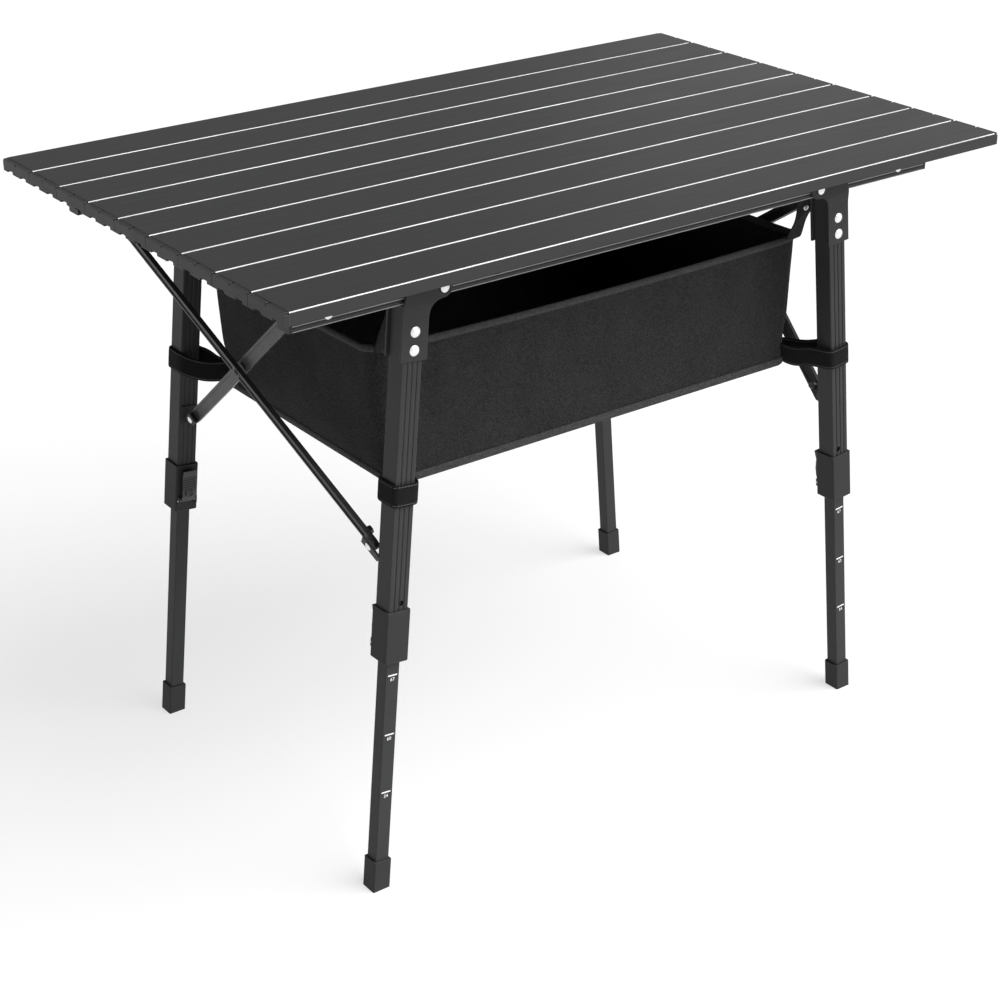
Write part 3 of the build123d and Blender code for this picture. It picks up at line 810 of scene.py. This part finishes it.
# %% [markdown]
# ## Hanging tabs
# Each upper corner hangs from the rail by a tab of the same canvas, broad at the rail and narrow
# at the basket, with a snap button. A tab starts as one four-sided face, is cut into a grid, and
# its sides are pulled in, because a loaded tab necks between its ends.

# %% Corner tabs
TAB_TOP_Z = 0.641
TAB_FOOT_Z = 0.564
TAB_RAIL_Y = -0.1940
TAB_OUTLINE = (
    (-0.2835, -0.1560, 0.5650),
    (-0.2610, -0.1585, 0.5630),
    (-0.2380, TAB_RAIL_Y, TAB_TOP_Z),
    (-0.2930, TAB_RAIL_Y, TAB_TOP_Z),
)
TAB_THICK = 0.0014
TAB_NECK = 0.34
TAB_RIPPLE = 0.0016


def hanging_tab(corner):
    """One corner tab."""
    bm = bmesh.new()
    bm.faces.new([bm.verts.new(p) for p in TAB_OUTLINE])
    bmesh.ops.subdivide_edges(bm, edges=bm.edges[:], cuts=8, use_grid_fill=True)
    layer = bm.loops.layers.uv.new("cloth")
    for face in bm.faces:
        for loop in face.loops:
            loop[layer].uv = (loop.vert.co.x, loop.vert.co.z)
    for v in bm.verts:
        t = (v.co.z - TAB_FOOT_Z) / (TAB_TOP_Z - TAB_FOOT_Z)
        middle = -0.269 + 0.0035 * t
        narrowing = 1 - TAB_NECK * math.sin(math.pi * max(0.0, min(1.0, t)))
        v.co.x = middle + (v.co.x - middle) * narrowing
        v.co.y += TAB_RIPPLE * math.sin(9 * t + 140 * v.co.x)
    to_corner(bm, corner)
    obj = new_object(f"tab_{corner}", bm)
    thicken(obj, TAB_THICK, 0.0)
    dress(obj, canvas_black)
    return obj


tabs = {corner: hanging_tab(corner) for corner in CORNERS}
print("tabs:", sorted(tabs))

# %% Snap buttons
SNAP_AT = (-0.2665, -0.1795, 0.6080)
SNAP_RADIUS = 0.0036
SNAP_FLATNESS = 0.42


def snap_button(corner):
    """A small domed snap on the tab."""
    bm = bmesh.new()
    bmesh.ops.create_uvsphere(bm, u_segments=24, v_segments=12, radius=SNAP_RADIUS)
    bmesh.ops.scale(bm, vec=(1, SNAP_FLATNESS, 1), verts=bm.verts)
    bmesh.ops.translate(bm, vec=SNAP_AT, verts=bm.verts)
    to_corner(bm, corner)
    obj = new_object(f"snap_{corner}", bm)
    for polygon in obj.data.polygons:
        polygon.use_smooth = True
    dress(obj, rivet_bright)
    return obj


snaps = {corner: snap_button(corner) for corner in CORNERS}
print("snaps:", sorted(snaps))

# %% [markdown]
# ## Height marks
# Each lower tube has three printed marks on its outer face: a tick with the height of the table
# in centimetres below it. The digits are text turned into a thin mesh.

# %% Ink of the marks

def print_finish():
    """White pad-printed ink, thinner in small patches."""
    mat, tree, shader = start_material("mark_white", Specular_IOR_Level=0.3)
    thin = stretched_noise(tree, 420.0, EVEN, detail=3.0)
    tree.links.new(mix_colour(tree, thin, grey(0.88), grey(0.62)), shader.inputs["Base Color"])
    tree.links.new(spread(tree, thin, 0.48, 0.66), shader.inputs["Roughness"])
    bump(tree, shader, thin, 0.05, 0.0001)
    return mat


mark_white = print_finish()
print("ink:", mark_white.name)

# %% Ticks and digits
MARKS = ((0.247, "67"), (0.1805, "60"), (0.1145, "54"))
LOWER_HALF = 0.008
INK_PROUD = 0.00002
TICK_SIZE = (0.0108, 0.00012, 0.0014)
DIGIT_SIZE = 0.0052
DIGIT_DROP = 0.0062
DIGIT_THICK = 0.00006


def text_mesh(words, size):
    """Letters as a flat mesh in the XY plane."""
    curve = bpy.data.curves.new("digits", "FONT")
    curve.body = words
    curve.size = size
    curve.align_x = "CENTER"
    curve.extrude = DIGIT_THICK
    holder = bpy.data.objects.new("digits", curve)
    mesh = bpy.data.meshes.new_from_object(holder)
    bpy.data.objects.remove(holder)
    return mesh


def height_marks(corner):
    """The three marks of one leg, standing a hair proud of the tube."""
    bm = bmesh.new()
    sx, sy = CORNERS[corner]
    # a mirrored corner would mirror the digits too, so they are turned over first
    flip = Matrix.Diagonal((sx * sy, 1, 1, 1))
    stand = Matrix.Rotation(math.radians(90), 4, "X") @ flip
    face = -LOWER_HALF - INK_PROUD
    for z, words in MARKS:
        place = leg_frame(z)
        tick = bmesh.ops.create_cube(bm, size=1.0)["verts"]
        bmesh.ops.scale(bm, vec=TICK_SIZE, verts=tick)
        bmesh.ops.translate(bm, vec=(0, face, 0), verts=tick)
        bmesh.ops.transform(bm, matrix=place, verts=tick)
        digits = text_mesh(words, DIGIT_SIZE)
        digits.transform(place @ Matrix.Translation((0, face, -DIGIT_DROP)) @ stand)
        bm.from_mesh(digits)
        bpy.data.meshes.remove(digits)
    to_corner(bm, corner)
    bmesh.ops.recalc_face_normals(bm, faces=bm.faces)
    obj = new_object(f"height_marks_{corner}", bm)
    dress(obj, mark_white)
    return obj


marks = {corner: height_marks(corner) for corner in CORNERS}
print("marks:", sorted(marks))

# %% [markdown]
# ## Knobs on the brace clips
# Where a brace meets its leg, a small moulded knob holds it in its clip. It is a cylinder with
# its free rim bevelled and six flats pressed in for the fingers.

# %% Knobs
CLIP = Vector((-0.3015, -0.1840, 0.3795))
BRACE_START = Vector((-0.3775, 0.1820, 0.6410))
BRACE_LAYER = 0.0041
BRACE_HALF = 0.0025
KNOB_RADIUS = 0.0052
KNOB_TOP_RADIUS = 0.0046
KNOB_HEIGHT = 0.0052
KNOB_BACK = 0.0135
FLAT_DEPTH = 0.10


def brace_knob(corner, level):
    """The knob at the lower end of the brace that ends on this leg."""
    down = (CLIP - BRACE_START).normalized()
    normal = down.cross(Vector((down.x, -down.y, down.z))).normalized()
    if normal.x < 0:
        normal = -normal
    raised = level * BRACE_LAYER + BRACE_HALF + KNOB_HEIGHT / 2
    at = CLIP + normal * raised - down * KNOB_BACK
    bm = bmesh.new()
    bmesh.ops.create_cone(
        bm,
        cap_ends=True,
        segments=24,
        radius1=KNOB_RADIUS,
        radius2=KNOB_TOP_RADIUS,
        depth=KNOB_HEIGHT,
    )
    for v in bm.verts:
        turn = math.atan2(v.co.y, v.co.x)
        v.co.xy *= 1 - FLAT_DEPTH * (0.5 + 0.5 * math.cos(6 * turn))
    rims = [e for e in bm.edges if e.verts[0].co.z > 0 and e.verts[1].co.z > 0]
    bmesh.ops.bevel(
        bm, geom=rims, offset=0.0009, segments=2, profile=0.5, affect="EDGES", material=-1
    )
    turned = normal.to_track_quat("Z", "Y").to_matrix().to_4x4()
    bmesh.ops.transform(bm, matrix=Matrix.Translation(at) @ turned, verts=bm.verts)
    to_corner(bm, corner)
    bmesh.ops.recalc_face_normals(bm, faces=bm.faces)
    obj = new_object(f"brace_knob_{corner}", bm)
    dress(obj, latch_plastic)
    return obj


# the brace that ends on a front leg hangs from the rear rail, and the other way round
KNOB_BODY = {
    "fl": ("brace_left_rear", -1),
    "rl": ("brace_left_front", 1),
    "fr": ("brace_right_rear", -1),
    "rr": ("brace_right_front", 1),
}
knobs = {corner: brace_knob(corner, KNOB_BODY[corner][1]) for corner in CORNERS}
print("brace knobs:", sorted(knobs))

# %% [markdown]
# ## Latch grips
# The flip latches have a ribbed grip and a small wire ring to pull. The ribs are one block,
# repeated and given round edges by a bevel. The ring is a small circle spun round a large one.

# %% Ribs across the latch
COLLAR_FOOT_Z = 0.2626
LATCH_FACE = 0.01375
LATCH_THICK = 0.0070
LATCH_TAPER = 0.13
HINGE_UP = 0.014
RIB_COUNT = 6
RIB_PITCH = 0.0026
RIB_SIZE = (0.0150, 0.0014, 0.0013)


def add_ribs(bm):
    """The ribs, each set on the latch's tapering face."""
    for n in range(RIB_COUNT):
        rib = bmesh.ops.create_cube(bm, size=1.0)["verts"]
        up = HINGE_UP + 0.0155 + RIB_PITCH * n
        out = LATCH_FACE + LATCH_THICK - LATCH_TAPER * max(0.0, up - HINGE_UP - 0.016)
        bmesh.ops.scale(bm, vec=RIB_SIZE, verts=rib)
        bmesh.ops.translate(bm, vec=(0, out, up), verts=rib)
    bmesh.ops.bevel(
        bm, geom=bm.edges[:], offset=0.0003, segments=2, profile=0.5, affect="EDGES", material=-1
    )


print(RIB_COUNT, "ribs on each latch")

# %% The wire ring, and the grips
RING_RADIUS = 0.0042
WIRE_RADIUS = 0.0006
RING_TILT = math.radians(62)
RING_AT = (0, LATCH_FACE + 0.0078, HINGE_UP + 0.0095)


def add_ring(bm):
    """A small circle spun round a large one, then tilted out of the latch."""
    wire = bmesh.ops.create_circle(bm, segments=8, radius=WIRE_RADIUS)["verts"]
    upright = Matrix.Rotation(math.radians(90), 3, "X")
    bmesh.ops.rotate(bm, cent=(0, 0, 0), matrix=upright, verts=wire)
    bmesh.ops.translate(bm, vec=(RING_RADIUS, 0, 0), verts=wire)
    loop = list({e for v in wire for e in v.link_edges})
    before = set(bm.verts)
    bmesh.ops.spin(
        bm,
        geom=wire + loop,
        cent=(0, 0, 0),
        axis=(0, 0, 1),
        angle=2 * math.pi,
        steps=24,
        use_merge=True,
    )
    ring = [v for v in bm.verts if v not in before or v in wire]
    tilt = Matrix.Rotation(RING_TILT, 3, "X")
    bmesh.ops.rotate(bm, cent=(0, 0, 0), matrix=tilt, verts=ring)
    bmesh.ops.translate(bm, vec=RING_AT, verts=ring)


def latch_grip(corner):
    """Ribs across the latch and the wire ring below them."""
    bm = bmesh.new()
    add_ribs(bm)
    add_ring(bm)
    bmesh.ops.transform(bm, matrix=leg_frame(COLLAR_FOOT_Z), verts=bm.verts)
    to_corner(bm, corner)
    bmesh.ops.recalc_face_normals(bm, faces=bm.faces)
    obj = new_object(f"latch_grip_{corner}", bm)
    dress(obj, latch_plastic)
    return obj


grips = {corner: latch_grip(corner) for corner in CORNERS}
print("latch grips:", sorted(grips))

# %% [markdown]
# ## What moves with what
# The basket hangs between the rails and moves with the frame. The loops stay where they are made,
# and each tab stays on its own rail.

for piece in (basket_cloth, basket_tape, basket_hem):
    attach(piece, "frame")
    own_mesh(piece)
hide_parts("basket")

# %% The pieces at each corner
for corner, (sx, sy) in CORNERS.items():
    rail_body = "frame" if sy > 0 else "rear_frame"
    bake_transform(straps[corner])
    for piece in (tabs[corner], snaps[corner]):
        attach(piece, rail_body)
    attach(knobs[corner], KNOB_BODY[corner][0])
    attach(grips[corner], f"latch_{corner}")
    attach(marks[corner], f"leg_{corner}_lower")
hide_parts("basket_straps")

# %% The soft pieces are made
print("soft pieces made")

# %% [markdown]
# ## Floor, light and camera
# A large white floor and soft light, as in a product studio. The main light is broad and high on
# the front right, so front faces are lighter than the ends. The floor throws light back up from
# below, and a dim light behind the table puts a sheen on its top.

# %% Floor
floor_mesh = bmesh.new()
bmesh.ops.create_grid(floor_mesh, x_segments=1, y_segments=1, size=30.0)
floor = new_object("studio_floor", floor_mesh)
floor_white, _, _ = start_material(
    "floor_white",
    Base_Color=grey(0.28),
    Roughness=0.9,
    Emission_Color=grey(1.0),
    Emission_Strength=0.66,
)
dress(floor, floor_white)
print("floor", [round(side) for side in floor.dimensions[:2]], "m")

# %% Light from all round
world = bpy.data.worlds.new("studio")
world.use_nodes = True
world.node_tree.nodes["Background"].inputs["Color"].default_value = (1, 1, 1, 1)
# white round the horizon, dim above it, so low views stay pale and the top stays dark
sky = world.node_tree
way = add_node(sky, "ShaderNodeTexCoord").outputs["Generated"]
rise = add_node(sky, "ShaderNodeSeparateXYZ", {"Vector": way}).outputs["Z"]
glow = spread(sky, rise, 1.0, 0.16, 0.10, 0.26)
sky.links.new(glow, sky.nodes["Background"].inputs["Strength"])
scene = bpy.context.scene
scene.world = world
scene.view_settings.view_transform = "Standard"
print("world:", world.name)

# %% Two lamps


def add_lamp(name, kind, power, at, direction):
    """A lamp that shines along a direction."""
    data = bpy.data.lights.new(name, kind)
    data.energy = power
    obj = bpy.data.objects.new(name, data)
    obj.location = at
    obj.rotation_euler = Vector(direction).to_track_quat("-Z", "Y").to_euler()
    scene.collection.objects.link(obj)
    return data


overhead = add_lamp("overhead_soft", "SUN", 5.0, (0, 0, 0), (-0.40, 0.58, -0.71))
overhead.angle = math.radians(60)

SHEEN_AT = Vector((3.3, 2.4, 1.5))
SHEEN_TARGET = Vector((0.2, 0, 0.68))
sheen = add_lamp("sheen_behind", "AREA", 5, SHEEN_AT, SHEEN_TARGET - SHEEN_AT)
sheen.shape = "RECTANGLE"
sheen.size, sheen.size_y = 2.0, 0.8
print("lamps:", overhead.name, sheen.name)

# %% Camera
LOOK_AT = Vector((-0.1898, -0.2365, 0.4120))
camera_data = bpy.data.cameras.new("camera")
camera_data.lens = 75.2
camera_data.sensor_width = 36.0
camera = bpy.data.objects.new("camera", camera_data)
camera.location = (-1.2973, -1.7161, 1.3241)
camera.rotation_euler = (LOOK_AT - camera.location).to_track_quat("-Z", "Y").to_euler()
scene.collection.objects.link(camera)
scene.camera = camera
print("camera at", tuple(round(c, 3) for c in camera.location))
